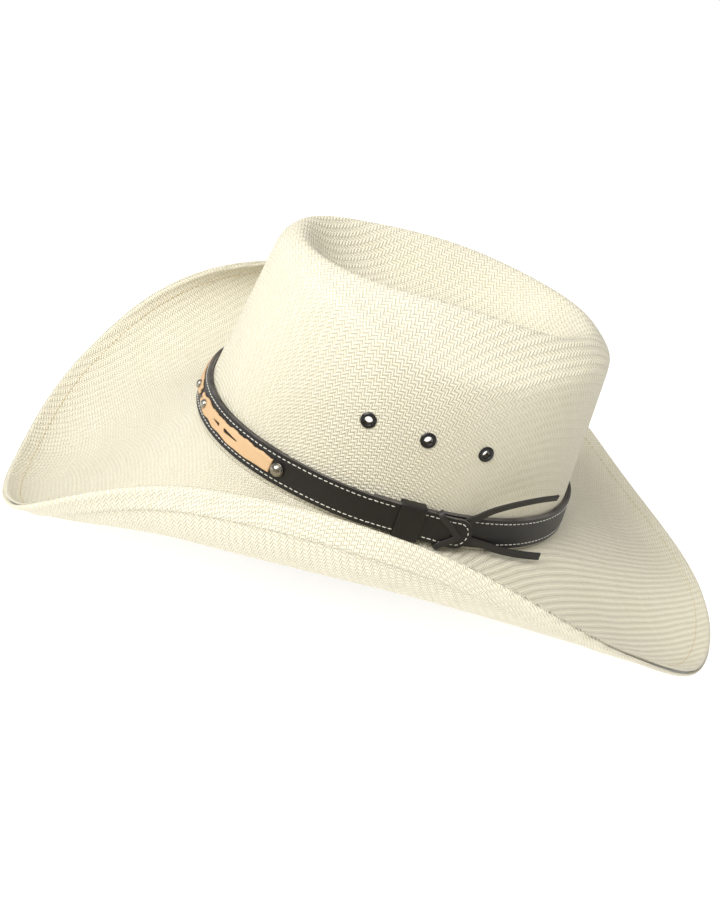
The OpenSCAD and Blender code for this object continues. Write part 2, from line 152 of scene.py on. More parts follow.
t_round = np.linspace(0, 2*np.pi, columns, endpoint=False)
crown_rows = np.concatenate([np.linspace(0, 8.5, 130), np.linspace(8.5, 13, 46)[1:]])
crown_out = bspline(crown_net(t_round), crown_rows)

# ---- Straw body: brim -------------------------------------------------------------------
# The same sheet, turned out at the break and pressed to its curl. Its edge is folded under
# round a wire and sewn down with one row of tan thread.

brim_front, brim_back, brim_t = 110.5, 104, 1.2
slope_at = (-53, -37.9, -11.2, 3.4, 0.4, -17.7, -17.7)    # degrees at the break, front to back
lift_at = (26, 37.4, 132.3, 118.4, 50.4, 26.9, 11.2)      # degrees at the edge, front to back
curl_power = 3.15
hem_depth = 11
hem_r = 0.85 + brim_t        # wire channel plus straw

def brim_len(t):
    """Length of the straw from break to edge, longer in front."""
    return (brim_front + brim_back)/2 - (brim_front - brim_back)/2*np.sin(t)

def station(values, t):
    """A value given at seven stations from front to back, the same on both sides."""
    v = np.array([values[1], *values, values[-2]], float)
    p = (np.degrees(np.arctan2(np.sin(t), np.abs(np.cos(t)))) + 90)/30
    i = np.clip(np.floor(p).astype(int), 0, 5)
    u = p - i
    a, b, c, d = v[i], v[i + 1], v[i + 2], v[i + 3]
    return 0.5*(2*b + (c - a)*u + (2*a - 5*b + 4*c - d)*u*u + (3*b - a - 3*c + d)*u**3)

def brim_angle(t, s):
    """Slope of the brim at s along the straw, in radians."""
    a, b = np.radians(station(slope_at, t)), np.radians(station(lift_at, t))
    return a + (b - a)*(np.clip(s, 0, None)/brim_len(t))**curl_power

def brim_points(t, s, n):
    """Points of the brim, s along the straw from the break and n above its upper face."""
    s, n, _ = np.broadcast_arrays(s, n, t)
    out = np.empty(s.shape + (3,))
    for k, tk in enumerate(t):
        fine = np.linspace(0, brim_len(tk), 521)
        a = brim_angle(tk, fine)
        half = fine[1]/2
        r = np.concatenate([[0], np.cumsum((np.cos(a[1:]) + np.cos(a[:-1]))*half)])
        h = np.concatenate([[0], np.cumsum((np.sin(a[1:]) + np.sin(a[:-1]))*half)])
        ang = brim_angle(tk, s[:, k])
        rr = np.interp(s[:, k], fine, r) - n[:, k]*np.sin(ang)
        hh = np.interp(s[:, k], fine, h) + n[:, k]*np.cos(ang)
        base = wall(tk, 0.0)
        out[:, k] = np.stack([base[0] + math.cos(tk)*rr, base[1] + math.sin(tk)*rr, hh], -1)
    return out

def brim_outline(t):
    """The brim's section at each station: distances s, heights n and lengths along the straw."""
    turn = np.radians(np.linspace(0, 180, 11))[1:-1]
    flat = -hem_r            # distances from the edge are negative, those from the break a share
    main = [(f, 0, 0) for f in np.concatenate([np.linspace(0, 0.08, 12), np.linspace(0.08, 1, 54)[1:]])]
    main += [(1, e, 0) for e in np.linspace(-hem_depth, flat, 9)[1:]]
    fold = [(1, flat + hem_r*math.sin(a), hem_r*math.cos(a) - hem_r) for a in turn]
    low = -2*brim_t - 0.1
    under = [(1, flat - 4.5*f, -2*hem_r + (low + 2*hem_r)*float(smooth(f))) for f in np.linspace(0, 1, 8)]
    under += [(1, -9, low), (1, 0.3 - hem_depth, low), (1, -hem_depth, low + 0.3), (1, -hem_depth, -brim_t)]
    back = [(f, 0, -brim_t) for f in np.concatenate([np.linspace(0.993, 0.04, 48), [0.02, 0.006]])]
    rows = np.array(main + fold + under + back)
    share, edge, n = rows[:, :1], rows[:, 1:2], rows[:, 2]
    s = np.where(edge < 0, brim_len(t) + edge, share*(brim_len(t) - hem_depth))
    step = np.hypot(np.diff(s, axis=0), np.diff(n)[:, None])
    along = np.concatenate([0*s[:1], np.cumsum(step, 0)])
    folded = len(main + fold + under) - 1
    along[folded:] = s[folded:]
    return s, n, along

brim_s, brim_n, brim_along = brim_outline(t_round)
brim_grid = brim_points(t_round, brim_s, brim_n[:, None])

def round_break(crown, brim):
    """Turns the sharp corner between wall and brim into a curve on both sheets."""
    corner = wall(t_round, 0.0)
    upward = wall(t_round, 1.0) - corner
    upward /= np.linalg.norm(upward, axis=-1, keepdims=True)
    a = brim_angle(t_round, np.zeros(columns))
    outward = np.stack([np.cos(t_round)*np.cos(a), np.sin(t_round)*np.cos(a), np.sin(a)], -1)
    h = break_round
    for row in crown:
        q = np.linalg.norm(row - corner, axis=-1)
        near = (q < h) & (row[:, 2] < h)
        new = corner + outward*((h - q)**2/(4*h))[:, None] + upward*((h + q)**2/(4*h))[:, None]
        row[near] = new[near]
    for row, s in zip(brim, brim_s):
        q = np.minimum(s, h)[:, None]
        row += outward*((h + q)**2/(4*h) - q) + upward*(h - q)**2/(4*h)
    return crown, brim

crown_out, brim_grid = round_break(crown_out, brim_grid)
crown_in = crown_out - crown_t*grid_normals(crown_out)

# Standing place: leaned about X, then set down on the brim's lowest points.
cos_l, sin_l = math.cos(lean), math.sin(lean)
turned_y = brim_grid[..., 1]*cos_l + brim_grid[..., 2]*sin_l
turned_z = brim_grid[..., 2]*cos_l - brim_grid[..., 1]*sin_l
sit = np.array([0, -(turned_y.min() + turned_y.max())/2, -turned_z.min()])

def standing(points):
    """Upright millimetres to metres in the frame."""
    p = np.asarray(points, float)
    x, y, z = p[..., 0], p[..., 1], p[..., 2]
    return (np.stack([x, y*cos_l + z*sin_l, z*cos_l - y*sin_l], -1) + sit)/1000

def weave_place(grid, along):
    """Where each point lies in the flat woven sheet, mm from the middle of the top."""
    t = np.arctan2(grid[..., 1], grid[..., 0])
    return np.stack([along*np.cos(t), along*np.sin(t), 0*along], -1)

def mesh_object(name, verts, faces, materials, body, weave=None, face_slots=None):
    """A named closed, smooth mesh in the frame, with its materials, riding on a body."""
    mesh = bpy.data.meshes.new(name)
    mesh.from_pydata([tuple(v) for v in np.asarray(verts).reshape(-1, 3)], [], [tuple(f) for f in faces])
    for m in materials:
        mesh.materials.append(m)
    if face_slots is not None:
        mesh.polygons.foreach_set("material_index", np.asarray(face_slots, np.int32))
    if weave is not None:
        layer = mesh.attributes.new("weave_mm", "FLOAT_VECTOR", "POINT")
        layer.data.foreach_set("vector", np.asarray(weave, np.float32).reshape(-1))
    bm = bmesh.new()
    bm.from_mesh(mesh)
    bmesh.ops.remove_doubles(bm, verts=bm.verts, dist=1e-6)
    bmesh.ops.recalc_face_normals(bm, faces=bm.faces)
    bm.to_mesh(mesh)
    bm.free()
    mesh.polygons.foreach_set("use_smooth", np.ones(len(mesh.polygons), bool))
    mesh.update()
    o = bpy.data.objects.new(name, mesh)
    bpy.context.scene.collection.objects.link(o)
    if body:
        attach(o, body)
    return o

def grid_faces(rows, cols, wrap_rows=False):
    """Four-sided faces of a grid whose columns close round, and whose rows may too."""
    i, j = np.meshgrid(np.arange(rows if wrap_rows else rows - 1), np.arange(cols), indexing="ij")
    a, b = i*cols + j, i*cols + (j + 1) % cols
    c, d = ((i + 1) % rows)*cols + (j + 1) % cols, ((i + 1) % rows)*cols + j
    return np.stack([a, b, c, d], -1).reshape(-1, 4)

def linear(code):
    """An sRGB hex colour as linear RGBA."""
    c = [int(code[i:i + 2], 16)/255 for i in (1, 3, 5)]
    return (*[v/12.92 if v <= 0.04045 else ((v + 0.055)/1.055)**2.4 for v in c], 1)

def add(material, kind, inputs=None, **settings):
    """One node, with its settings and with its inputs set or linked."""
    n = material.node_tree.nodes.new("ShaderNode" + kind)
    for key, value in settings.items():
        setattr(n, key, value)
    for key, value in (inputs or {}).items():
        if isinstance(value, bpy.types.NodeSocket):
            material.node_tree.links.new(value, n.inputs[key])
        else:
            n.inputs[key].default_value = value
    return n

def new_material(name, roughness, ior=1.5, metallic=0.0):
    """A material and its shader, with the constant values set."""
    m = bpy.data.materials.new(name)
    m.use_nodes = True
    shader = m.node_tree.nodes["Principled BSDF"]
    shader.inputs["Roughness"].default_value = roughness
    shader.inputs["IOR"].default_value = ior
    shader.inputs["Metallic"].default_value = metallic
    return m, shader

strand_mm = 1.7              # pitch of the flat straw strands, both ways
weave_drift = 1.6            # how far the weave wanders off square, in strands
relief_mm = 0.5              # how high the relief of the weave counts

def straw_material():
    """Twill of flat, lacquered straw strands: cream, each strand a little different, with painted shade
    darkening each strand towards its edges.
    """
    m, shader = new_material("woven_twill_straw", 0.55, 1.45)
    place = add(m, "Attribute", attribute_name="weave_mm").outputs["Vector"]
    scaled = add(m, "VectorMath", {0: place, 1: (1/strand_mm,)*3}, operation="MULTIPLY").outputs[0]
    wander = add(m, "TexNoise", {"Vector": place, "Scale": 0.045, "Detail": 2.0}).outputs["Color"]
    drift = add(m, "VectorMath", {0: wander, 1: (0.5, 0.5, 0.5)}, operation="SUBTRACT").outputs[0]
    drift = add(m, "VectorMath", {0: drift, 1: (weave_drift, weave_drift, 0)},
                operation="MULTIPLY").outputs[0]
    scaled = add(m, "VectorMath", {0: scaled, 1: drift}, operation="ADD").outputs[0]
    cell = add(m, "VectorMath", {0: scaled}, operation="FLOOR").outputs[0]
    within = add(m, "VectorMath", {0: scaled}, operation="FRACTION").outputs[0]
    cell_xy = add(m, "SeparateXYZ", {0: cell})
    in_xy = add(m, "SeparateXYZ", {0: within})

    def bulge(x):
        """0 at a strand's edges, 1 along its middle."""
        twice = add(m, "Math", {0: x, 1: 2.0}, operation="MULTIPLY").outputs[0]
        off = add(m, "Math", {0: twice, 1: 1.0}, operation="SUBTRACT").outputs[0]
        square = add(m, "Math", {0: off, 1: off}, operation="MULTIPLY").outputs[0]
        return add(m, "Math", {0: 1.0, 1: square}, operation="SUBTRACT").outputs[0]

    # a twill: each strand goes over two and under two, one step on at each row
    diagonal = add(m, "Math", {0: cell_xy.outputs[0], 1: cell_xy.outputs[1]}, operation="ADD").outputs[0]
    step = add(m, "Math", {0: diagonal, 1: 4.0}, operation="FLOORED_MODULO").outputs[0]
    over = add(m, "Math", {0: step, 1: 1.5}, operation="LESS_THAN").outputs[0]
    bulge_a, bulge_b = bulge(in_xy.outputs[0]), bulge(in_xy.outputs[1])
    height = add(m, "Mix", {"Factor": over, "A": bulge_b, "B": bulge_a}, data_type="FLOAT").outputs[0]
    # each strand has its own tone; the second set's numbers start far from the first's
    apart = add(m, "Math", {0: cell_xy.outputs[1], 1: 411.5}, operation="ADD").outputs[0]
    strand_a = add(m, "TexWhiteNoise", {"W": cell_xy.outputs[0]}, noise_dimensions="1D").outputs["Value"]
    strand_b = add(m, "TexWhiteNoise", {"W": apart}, noise_dimensions="1D").outputs["Value"]
    strand = add(m, "Mix", {"Factor": over, "A": strand_b, "B": strand_a}, data_type="FLOAT").outputs[0]
    blotch = add(m, "TexNoise", {"Vector": place, "Scale": 0.02, "Detail": 3.0}).outputs["Fac"]
    own = add(m, "Math", {0: strand, 1: 0.45}, operation="MULTIPLY").outputs[0]
    shared = add(m, "Math", {0: blotch, 1: 0.55}, operation="MULTIPLY").outputs[0]
    tone = add(m, "Math", {0: own, 1: shared}, operation="ADD").outputs[0]
    # painted shade: the third colour is the darker shade painted where the strands dip under each other
    pale, deep, painted_gap_shade = linear("#EAE4D0"), linear("#E0D9C0"), linear("#BDB18E")
    body = add(m, "Mix", {"Factor": tone, 6: deep, 7: pale}, data_type="RGBA").outputs[2]
    # painted shade: towards each strand's edges the colour goes over to the darker gap shade
    edge = add(m, "MapRange", {"Value": height, "From Min": 0.0, "From Max": 0.42}).outputs[0]
    colour = add(m, "Mix", {"Factor": edge, 6: painted_gap_shade, 7: body}, data_type="RGBA").outputs[2]
    m.node_tree.links.new(colour, shader.inputs["Base Color"])
    bump = add(m, "Bump", {"Height": height, "Strength": 0.75, "Distance": relief_mm/1000})
    m.node_tree.links.new(bump.outputs[0], shader.inputs["Normal"])
    return m

straw = straw_material()

def column_lengths(grid):
    """Length along each column of a grid, from its first row."""
    step = np.linalg.norm(np.diff(grid, axis=0), axis=-1)
    return np.concatenate([0*step[:1], np.cumsum(step, 0)])

crown_along = column_lengths(crown_out)
crown_weave = weave_place(crown_out, crown_along)
shell = np.concatenate([crown_out, crown_in[::-1]])
shell_weave = np.concatenate([crown_weave, crown_weave[::-1]])
crown = mesh_object("crown_straw", standing(shell), grid_faces(len(shell), columns), [straw],
                    "hat", weave=shell_weave)
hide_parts("crown")

brim_weave = weave_place(np.broadcast_to(wall(t_round, 0.0), brim_grid.shape),
                         crown_along[-1][None] + brim_along)
brim = mesh_object("brim_straw", standing(brim_grid), grid_faces(len(brim_grid), columns, wrap_rows=True),
                   [straw], "hat", weave=brim_weave)
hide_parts("brim")

# ---- Hem stitching ----------------------------------------------------------------------
# One row of tan polyester thread holds the folded edge, about 3.5 mm from hole to hole. Each
# stitch is a short bead of two-ply thread that lies on the straw and dips in at its ends.

hem_pitch, hem_stitch, hem_thread = 3.5, 2.7, 0.5     # mm
hem_inset = 8.2                                       # mm from the edge of the brim

def thread_material(name, pale, deep):
    """Twisted two-ply thread: soft, slightly shiny, its plies a shade apart."""
    m, shader = new_material(name, 0.6)
    place = add(m, "TexCoord").outputs["Object"]
    ply = add(m, "TexWave", {"Vector": place, "Scale": 700.0, "Distortion": 1.0}, bands_direction="DIAGONAL")
    colour = add(m, "Mix", {"Factor": ply.outputs["Fac"], 6: linear(deep), 7: linear(pale)}, data_type="RGBA")
    m.node_tree.links.new(colour.outputs[2], shader.inputs["Base Color"])
    bump = add(m, "Bump", {"Height": ply.outputs["Fac"], "Strength": 0.4, "Distance": 0.0001})
    m.node_tree.links.new(bump.outputs[0], shader.inputs["Normal"])
    return m

thread_sides = 6
rng = np.random.default_rng(7)                         # no two stitches lie quite alike

def stitch_row(name, path, normals, pitch, length, thick, material, body, keep=None):
    """Stitches along a path of upright points, lying on the surface that the normals leave."""
    gone = np.concatenate([[0], np.cumsum(np.linalg.norm(np.diff(path, axis=0), axis=1))])
    count = int(gone[-1]/pitch)
    segments, sides = np.linspace(-1, 1, 7), np.arange(thread_sides)*2*np.pi/thread_sides

    def at(d, values):
        """Values of the path at the distances d along it."""
        return np.stack([np.interp(d, gone, values[:, k]) for k in range(3)], -1)

    verts, faces = [], []
    for d in (np.arange(count) + 0.5)*gone[-1]/count:
        half = length/2*(1 + 0.06*rng.standard_normal())
        slant = 0.05*rng.standard_normal()
        if keep is not None and not keep(d):
            continue
        p = at(np.clip(d + segments*half, 0, gone[-1]), path)
        n = at(np.array([d]), normals)[0]
        n /= np.linalg.norm(n)
        side = np.cross(p[-1] - p[0], n)
        side /= np.linalg.norm(side)
        first = len(verts)*thread_sides
        for q, f in zip(p, segments):
            swell = math.sqrt(1 - 0.92*f**4)
            middle = q + n*thick*(0.28 - 0.45*f**4) + side*slant*f
            verts.append(middle + (thick/2*swell)*(np.cos(sides)[:, None]*side
                                                   + np.sin(sides)[:, None]*n*0.85))
        for r in range(len(segments) - 1):
            row = first + r*thread_sides
            for k in range(thread_sides):
                a, b = row + k, row + (k + 1) % thread_sides
                faces.append((a, b, b + thread_sides, a + thread_sides))
        last = first + (len(segments) - 1)*thread_sides
        faces.append(tuple(first + k for k in range(thread_sides)))
        faces.append(tuple(last + k for k in reversed(range(thread_sides))))
    return mesh_object(name, standing(np.array(verts)), faces, [material], body)

tan_thread = thread_material("tan_polyester_thread", "#D9C9A2", "#B8A478")
t_hem = np.linspace(0, 2*np.pi, 1441)
hem_path = brim_points(t_hem, (brim_len(t_hem) - hem_inset)[None], 0.0)[0]
hem_up = brim_points(t_hem, (brim_len(t_hem) - hem_inset)[None], 1.0)[0] - hem_path
hem_row = stitch_row("hem_stitches", hem_path, hem_up, hem_pitch, hem_stitch, hem_thread, tan_thread, "hat")

# ---- Vent eyelets -----------------------------------------------------------------------
# Three black enamelled brass eyelets a side, clinched over a plain washer inside. The straw
# is punched for their barrels, so each is an open hole into the crown.

eyelet_z, eyelet_y, eyelet_pitch, eyelet_bore = 51.7, 7.8, 30.2, 4

def eyelet_deg(k):
    """Angle round the crown of eyelet k, the middle one being 0."""
    y = eyelet_y + k*eyelet_pitch
    a = (front_half if y < 0 else back_half) - eyelet_z*tan(front_taper if y < 0 else back_taper)
    return math.degrees(math.asin(math.copysign((abs(y)/a)**(oval_power/2), y)))

def on_wall(t_deg, z, out, local):
    """Local points to upright ones: z along the wall's outward normal, y forwards round it."""
    t = math.radians(t_deg)
    around = wall(t + 0.0087, z, out) - wall(t - 0.0087, z, out)
    around /= np.linalg.norm(around)
    tilt = side_taper if abs(math.cos(t)) > 0.7 else front_taper if math.sin(t) < 0 else back_taper
    tilt = math.radians(tilt)
    flat = np.array([around[1], -around[0], 0])
    normal = flat*math.cos(tilt) + np.array([0, 0, math.sin(tilt)])
    down = np.cross(around, normal)
    local = np.asarray(local, float)
    return wall(t, z, out) + local[..., :1]*down + local[..., 1:2]*around + local[..., 2:]*normal

def lathe(profile, sides=48):
    """A grid of points turned from a profile of (radius, height)."""
    a = np.arange(sides)*2*np.pi/sides
    r, h = np.array(profile, float).T
    return np.stack([r[:, None]*np.cos(a), r[:, None]*np.sin(a), h[:, None] + 0*a], -1)

def cut(o, cutters):
    """Takes cutter meshes out of an object for good."""
    for cutter in cutters:
        tool = o.modifiers.new("cut", "BOOLEAN")
        tool.operation, tool.solver, tool.object = "DIFFERENCE", "EXACT", cutter
        mesh = bpy.data.meshes.new_from_object(o.evaluated_get(bpy.context.evaluated_depsgraph_get()))
        o.modifiers.remove(tool)
        o.data = mesh
        bpy.data.objects.remove(cutter)

eyelet_degs = [d for k in (-1, 0, 1) for d in (eyelet_deg(k), 180 - eyelet_deg(k))]
punch_r, punch_reach, punch_sides = eyelet_bore/2 + 0.8, 6, 32
punch = lathe([(0, -punch_reach), (punch_r, -punch_reach), (punch_r, punch_reach), (0, punch_reach)],
              punch_sides)
punches = np.array([on_wall(d, eyelet_z, 0, punch) for d in eyelet_degs])
punch_faces = np.concatenate([grid_faces(len(punch), punch_sides) + len(punch)*punch_sides*k
                              for k in range(len(eyelet_degs))])
cut(crown, [mesh_object("punch", standing(punches), punch_faces, [], None)])

def carry_weave(o, points, weave):
    """Gives every new vertex its place in the woven sheet, from the nearest laid-out points."""
    tree = KDTree(len(points))
    for k, p in enumerate(points):
        tree.insert(p, k)
    tree.balance()
    layer = o.data.attributes.get("weave_mm") or o.data.attributes.new("weave_mm", "FLOAT_VECTOR", "POINT")
    for v in o.data.vertices:
        near = tree.find_n(v.co, 3)
        if near[0][2] > 1e-7:
            share = np.array([1/q[2] for q in near])
            layer.data[v.index].vector = (share[:, None]*weave[[q[1] for q in near]]).sum(0)/share.sum()

carry_weave(crown, standing(shell).reshape(-1, 3), shell_weave.reshape(-1, 3))

def worn_material(name, roughness, high, low, scale_mm, bump_mm, ior=1.5, metallic=0.0, rough_play=0.1):
    """A plain surface whose tone, gloss and relief wander over a grain of the given size."""
    m, shader = new_material(name, roughness, ior, metallic)
    place = add(m, "TexCoord").outputs["Object"]
    grain = add(m, "TexNoise", {"Vector": place, "Scale": 1000/scale_mm, "Detail": 4.0})
    broad = add(m, "TexNoise", {"Vector": place, "Scale": 60.0, "Detail": 2.0})
    both = add(m, "Math", {0: grain.outputs["Fac"], 1: broad.outputs["Fac"]}, operation="MULTIPLY")
    tone = add(m, "MapRange", {"Value": both.outputs[0], "From Min": 0.12, "From Max": 0.42})
    colour = add(m, "Mix", {"Factor": tone.outputs[0], 6: linear(low), 7: linear(high)}, data_type="RGBA")
    m.node_tree.links.new(colour.outputs[2], shader.inputs["Base Color"])
    gloss = add(m, "MapRange", {"Value": both.outputs[0], "From Min": 0.1, "From Max": 0.45,
                                "To Min": roughness + rough_play, "To Max": roughness - rough_play})
    m.node_tree.links.new(gloss.outputs[0], shader.inputs["Roughness"])
    if bump_mm:
        bump = add(m, "Bump", {"Height": grain.outputs["Fac"], "Strength": 0.5, "Distance": bump_mm/1000})
        m.node_tree.links.new(bump.outputs[0], shader.inputs["Normal"])
    return m

def dress(node, material):
    """Gives a frame node its finish."""
    mesh = frame["nodes"][node].data
    mesh.materials.clear()
    mesh.materials.append(material)

# stoved black enamel on brass: glossy, a hint of orange peel
enamel = worn_material("stoved_black_enamel", 0.24, "#201F1D", "#121110", 1.2, 0.01, rough_play=0.06)
# nickel-plated steel with fine wear; both its colours are set darker than bright nickel, a painted dark
# reflection of darker surroundings
nickel = worn_material("polished_nickel_plate", 0.14, "#B4B0A6", "#8F8A7F", 0.8, 0.0,
                       metallic=1.0, rough_play=0.05)
# (radius, height) up the clinched end and the barrel, round the flange's roll and into the bore
eyelet_profile = [(2.0, -3.4), (3.1, -3.4), (3.3, -3.1), (3.1, -2.85), (2.45, -2.85), (2.45, 0.25),
                  (3.85, 0.25), (4.0, 0.35), (4.0, 0.5), (3.85, 0.68), (3.5, 0.88), (3.1, 1.02),
                  (2.7, 1.08), (2.35, 1.02), (2.1, 0.86), (2.0, 0.6)]
eyelet_sides = 40
for side, degs in (("left", eyelet_degs[0::2]), ("right", eyelet_degs[1::2])):
    rings = np.array([on_wall(d, eyelet_z, 0, lathe(eyelet_profile, eyelet_sides)) for d in degs])
    size = len(eyelet_profile)*eyelet_sides
    faces = np.concatenate([grid_faces(len(eyelet_profile), eyelet_sides, wrap_rows=True) + size*k
                            for k in range(len(degs))])
    eyelets = mesh_object(side + "_vent_eyelets", standing(rings), faces, [enamel], "hat")
    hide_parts(side + "_eyelets")
    dress(side + "_eyelet_washers", nickel)

# ---- Sweatband --------------------------------------------------------------------------
# A band of brown roan leather inside the head opening, its lower edge turned round a plastic
# reed and sewn to the straw, its ends meeting at the back under a strip of tape.

sweat_h, sweat_t, sweat_gap, seam_open = 38, 1, 0.35, 1
tape_w, tape_t, tape_gap = 12, 0.6, 0.3
sweat_stations, tape_stations = 301, 9
sweat_stitch_z = 3.0         # mm, the row of thread above the band's lower edge

def slab(z0, z1, o0, o1, r=0.3, rows=6):
    """Outline of a strip's section as (height, offset), with rounded corners."""
    r = min(r, (o1 - o0)/2)
    quarter = np.radians([0, 30, 60, 90])

    def corner(zc, oc, a0):
        return [(zc + r*math.sin(a0 + a), oc + r*math.cos(a0 + a)) for a in quarter]

    face = [(z, o1) for z in np.linspace(z0 + r, z1 - r, rows)[1:-1]]
    back = [(z, o0) for z in np.linspace(z1 - r, z0 + r, rows)[1:-1]]
    return np.array(face + corner(z1 - r, o1 - r, 0) + corner(z1 - r, o0 + r, math.pi/2) + back
                    + corner(z0 + r, o0 + r, math.pi) + corner(z0 + r, o1 - r, 1.5*math.pi))

def band_object(name, degs, sections, materials, body, slots=None):
    """A strip bent round the crown: one closed section of (height, offset) at each station."""
    t = np.radians(np.asarray(degs, float))[:, None]
    pts = wall(t, sections[..., 0], sections[..., 1])
    rows, cols = pts.shape[:2]
    faces = [tuple(f) for f in grid_faces(rows, cols)]
    faces += [tuple(range(cols)), tuple(range((rows - 1)*cols, rows*cols))]
    if slots is not None:
        slots = np.concatenate([np.tile(slots, rows - 1), [slots.max()]*2])
    return mesh_object(name, standing(pts), faces, materials, body, face_slots=slots)

def leather_material(name, high, low, roughness, pore_mm, bump_mm):
    """Dyed grain leather: cells of fine pores over slow changes of tone."""
    m, shader = new_material(name, roughness)
    place = add(m, "TexCoord").outputs["Object"]
    pores = add(m, "TexVoronoi", {"Vector": place, "Scale": 1000/pore_mm}, feature="DISTANCE_TO_EDGE")
    creases = add(m, "TexNoise", {"Vector": place, "Scale": 220.0, "Detail": 5.0})
    relief = add(m, "MapRange", {"Value": pores.outputs["Distance"], "From Max": 0.25}).outputs[0]
    mixed = add(m, "Mix", {"Factor": 0.45, "A": relief, "B": creases.outputs["Fac"]},
                data_type="FLOAT").outputs[0]
    broad = add(m, "TexNoise", {"Vector": place, "Scale": 45.0, "Detail": 3.0}).outputs["Fac"]
    tone = add(m, "Mix", {"Factor": 0.5, "A": mixed, "B": broad}, data_type="FLOAT").outputs[0]
    colour = add(m, "Mix", {"Factor": tone, 6: linear(low), 7: linear(high)}, data_type="RGBA").outputs[2]
    m.node_tree.links.new(colour, shader.inputs["Base Color"])
    gloss = add(m, "MapRange", {"Value": tone, "To Min": roughness + 0.14, "To Max": roughness - 0.1})
    m.node_tree.links.new(gloss.outputs[0], shader.inputs["Roughness"])
    bump = add(m, "Bump", {"Height": mixed, "Strength": 0.6, "Distance": bump_mm/1000})
    m.node_tree.links.new(bump.outputs[0], shader.inputs["Normal"])
    return m

roan = leather_material("brown_roan_leather", "#7A5233", "#4E3220", 0.5, 0.7, 0.08)
sweat_o = -crown_t - sweat_gap
open_deg = math.degrees(math.asin(seam_open/2/side_half))
sweat_degs = np.linspace(90 + open_deg, 450 - open_deg, sweat_stations)
sweat_section = slab(-1.1, sweat_h, sweat_o - sweat_t, sweat_o, 0.4, 12)
sweat = band_object("sweatband_leather", sweat_degs, np.tile(sweat_section, (sweat_stations, 1, 1)),
                    [roan], "hat")
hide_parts("sweatband")
tape_degs = 90 + math.degrees(math.asin(tape_w/2/side_half))*np.linspace(-1, 1, tape_stations)
tape_o = sweat_o - sweat_t - tape_gap
tape_section = slab(0.5, sweat_h - 1.5, tape_o - tape_t, tape_o, 0.2)
tape = band_object("sweatband_tape", tape_degs, np.tile(tape_section, (tape_stations, 1, 1)), [roan], "hat")
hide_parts("sweatband_seam_tape")
brown_thread = thread_material("brown_polyester_thread", "#8C6A48", "#5E432C")
t_sweat = np.radians(np.linspace(92, 448, 900))
sweat_path = wall(t_sweat, sweat_stitch_z, sweat_o - sweat_t)
sweat_in = wall(t_sweat, sweat_stitch_z, sweat_o - sweat_t - 1) - sweat_path
sweat_row = stitch_row("sweatband_stitches", sweat_path, sweat_in, 3.4, 2.6, 0.45, brown_thread, "hat")
# extruded black polyethylene for the reed, drawn steel for the wire in the brim's edge
dress("sweatband_reed", worn_material("black_polyethylene", 0.45, "#262626", "#171717", 1.5, 0.02))
dress("brim_wire", worn_material("drawn_steel_wire", 0.38, "#9A9A97", "#77766F", 0.5, 0.01, metallic=1.0))

# ---- Hatband strap ----------------------------------------------------------------------
# Black latigo leather 16 mm wide, sewn along both edges to a thin lining, grooved for the
# thread, its cut edges bare. The rounded end lies over the other end and stands off a little.

band_z, band_w, band_t, lining_t = 3.4, 16, 1.5, 1
band_gap, leather_gap = 0.4, 0.3
tongue_deg, keeper_deg, keeper_w, keeper_t = 22.4, 5.6, 13, 1
lace_t = 1.1
strap_end = -364             # the covered end, one turn on from the tongue
band_top, band_mid = band_z + band_w, band_z + band_w/2
o_strap = band_gap + lining_t + leather_gap
stitch_inset = 2.2           # mm from the strap's edges to the thread
groove_depth = 0.16
tip_steps = 16               # stations round the strap's rounded end

def tongue_o(t_deg):
    """How far out the strap's inner face lies, rising where one end passes over the other."""
    return (o_strap + (band_t + leather_gap)*smooth((t_deg + 28)/24)
            + (lace_t + 0.5)*smooth((t_deg - 10)/6))

length_degs = np.arange(-368, 60, 0.5)
length_pts = wall(np.radians(length_degs), band_mid, o_strap + band_t)
lengths = np.concatenate([[0], np.cumsum(np.linalg.norm(np.diff(length_pts, axis=0), axis=1))])
lengths -= np.interp(-90, length_degs, lengths)     # mm along the strap from the front centre

def deg_at(l):
    """Angle round the crown at l mm along the strap."""
    return np.interp(l, lengths, length_degs)

def len_at(t_deg):
    """How far along the strap an angle lies, mm from the front centre."""
    return np.interp(t_deg, length_degs, lengths)

def strap_section():
    """The strap's section: a groove for each row of thread, and which faces are cut edges."""
    half, r = band_w/2, 0.45
    across = np.array([-7.4, -6.9, -6.5, -6.15, -5.8, -5.45, -5.1, -4.6, -2.5, 0, 2.5, 4.6, 5.1, 5.45, 5.8,
                       6.15, 6.5, 6.9, 7.4])
    groove = groove_depth*np.exp(-((np.abs(across) - (half - stitch_inset))/0.32)**2)
    face = list(zip(across, band_t - groove))
    quarter = np.radians([0, 22, 45, 68, 90])
    upper = [(half - r + r*math.sin(a), band_t - r + r*math.cos(a)) for a in quarter]
    back = [(half, 0.25), (half - 0.25, 0), (2.5, 0), (-2.5, 0), (0.25 - half, 0), (-half, 0.25)]
    lower = [(-half + r - r*math.cos(a), band_t - r + r*math.sin(a)) for a in quarter]
    outline = np.array(face + upper + back + lower)
    bare = [abs(a[0] + b[0]) > 2*half - 0.62 for a, b in zip(outline, np.roll(outline, -1, 0))]
    return outline, np.array(bare).astype(int)

section, strap_slots = strap_section()
tip_turn = np.radians(np.linspace(90, 4, tip_steps))
tip_len = len_at(tongue_deg) - band_w/2*(1 - np.cos(tip_turn))
strap_degs = np.concatenate([np.arange(strap_end, deg_at(tip_len[0]) - 0.8, 1.5), deg_at(tip_len)])
strap_half = np.concatenate([np.ones(len(strap_degs) - tip_steps), np.sin(tip_turn)])
strap_sections = np.stack([band_mid + section[None, :, 0]*strap_half[:, None],
                           tongue_o(strap_degs)[:, None] + section[None, :, 1]], -1)
black_leather = leather_material("black_latigo_leather", "#181410", "#0D0B09", 0.45, 0.6, 0.05)
